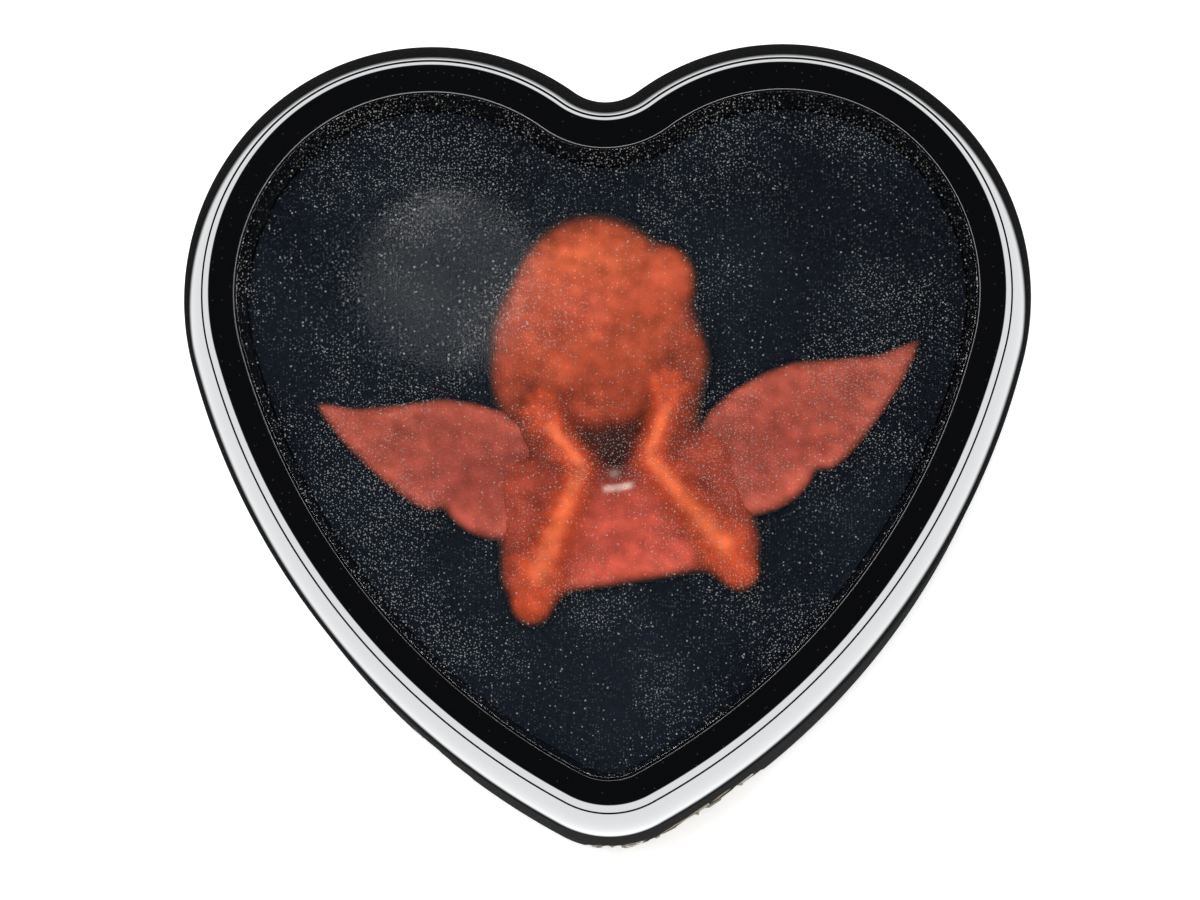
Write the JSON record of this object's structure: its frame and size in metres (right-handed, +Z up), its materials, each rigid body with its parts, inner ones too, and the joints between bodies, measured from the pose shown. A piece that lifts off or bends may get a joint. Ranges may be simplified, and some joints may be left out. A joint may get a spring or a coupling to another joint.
{
  "type": "heart-shaped wind up music box",
  "caption": "Black lacquered heart-shaped music box with a lift-off lid, a winged cherub under a smoky pane, and a key-wound comb movement inside.",
  "frame": {"origin": "centre of the outline's bounding rectangle, on the table under the feet", "axes": "+X to the right lobe, +Y from the tip towards the cleft, +Z up"},
  "size_m": [0.1294, 0.1214, 0.044],
  "materials": {
    "black_lacquer": "high gloss lacquer over moulded composite",
    "smoky_pane": "tinted, polished, slightly hazy",
    "cherub": "orange-red with fine glitter",
    "backing": "matt dark blue-black",
    "mirror": "mirror",
    "plate": "satin black",
    "felt": "felt",
    "flocking": "dark red flock",
    "clear_cover": "clear moulded plastic",
    "brass": "bright plated",
    "steel": "ground",
    "blue_steel": "tempered spring steel",
    "vane": "satin"
  },
  "bodies": {
    "base": {"base_wall": "black_lacquer", "foot_left": "felt", "foot_right": "felt", "foot_tip": "felt", "base_plate": "plate", "plate_screw_left": "steel", "plate_screw_right": "steel", "plate_screw_tip": "steel", "tray_lining": "flocking", "divider": "black_lacquer", "movement_cover": "clear_cover", "bedplate": "brass", "bedplate_screw_left": "steel", "bedplate_screw_right": "steel", "comb": "steel", "comb_screw_left": "steel", "comb_screw_right": "steel", "cylinder_bracket_left": "brass", "cylinder_bracket_right": "brass", "spring_barrel": "brass", "mainspring": "blue_steel", "governor_bracket": "brass", "stop_lever_pin": "steel", "stop_spring": "steel"},
    "winding": {"winding_key": "brass", "winding_arbor": "steel", "great_wheel": "brass"},
    "cylinder_group": {"cylinder": "brass", "cylinder_arbor": "steel", "cylinder_pinion": "steel", "cylinder_wheel": "brass"},
    "second_group": {"second_arbor": "steel", "second_pinion": "steel", "worm_wheel": "brass"},
    "governor": {"governor_worm": "steel", "air_vanes": "vane"},
    "plunger": {"stop_plunger": "brass"},
    "lever": {"stop_lever": "steel"},
    "lid": {"lid_frame": "black_lacquer", "lid_window": "smoky_pane", "backing_panel": "backing", "lid_mirror": "mirror", "cherub_figure": "cherub", "cherub_wing_left": "cherub", "cherub_wing_right": "cherub"}
  },
  "joints": [
    {"name": "cylinder_turn", "type": "hinge", "parent": "base", "child": "cylinder_group", "pos_m": [0.0068, 0.024, 0.0246], "axis": [1, 0, 0], "continuous": true},
    {"name": "key_turn", "type": "hinge", "parent": "base", "child": "winding", "pos_m": [-0.015, 0.024, 0.012], "axis": [0, 0, 1], "continuous": true},
    {"name": "second_turn", "type": "hinge", "parent": "base", "child": "second_group", "pos_m": [0.0178, 0.0149, 0.0246], "axis": [1, 0, 0], "continuous": true},
    {"name": "governor_turn", "type": "hinge", "parent": "base", "child": "governor", "pos_m": [0.0188, 0.00845, 0.0246], "axis": [0, 0, 1], "continuous": true},
    {"name": "lid_lift", "type": "slide", "parent": "base", "child": "lid", "axis": [0, 0, 1], "range_m": [0, 0.045]},
    {"name": "plunger_rise", "type": "slide", "parent": "base", "child": "plunger", "axis": [0, 0, 1], "range_m": [0, 0.0027]},
    {"name": "lever_tilt", "type": "hinge", "parent": "base", "child": "lever", "pos_m": [0.0226, 0.00845, 0.0178], "axis": [0, 1, 0], "range_deg": [-9, 0]}
  ],
  "couplings": [
    {"joint": "key_turn", "follows": "cylinder_turn", "ratio": 0.33333},
    {"joint": "second_turn", "follows": "cylinder_turn", "ratio": -3},
    {"joint": "governor_turn", "follows": "cylinder_turn", "ratio": -60},
    {"joint": "plunger_rise", "follows": "lid_lift", "ratio": 0.06},
    {"joint": "lever_tilt", "follows": "lid_lift", "rad_per_m": -3.4907}
  ]
}
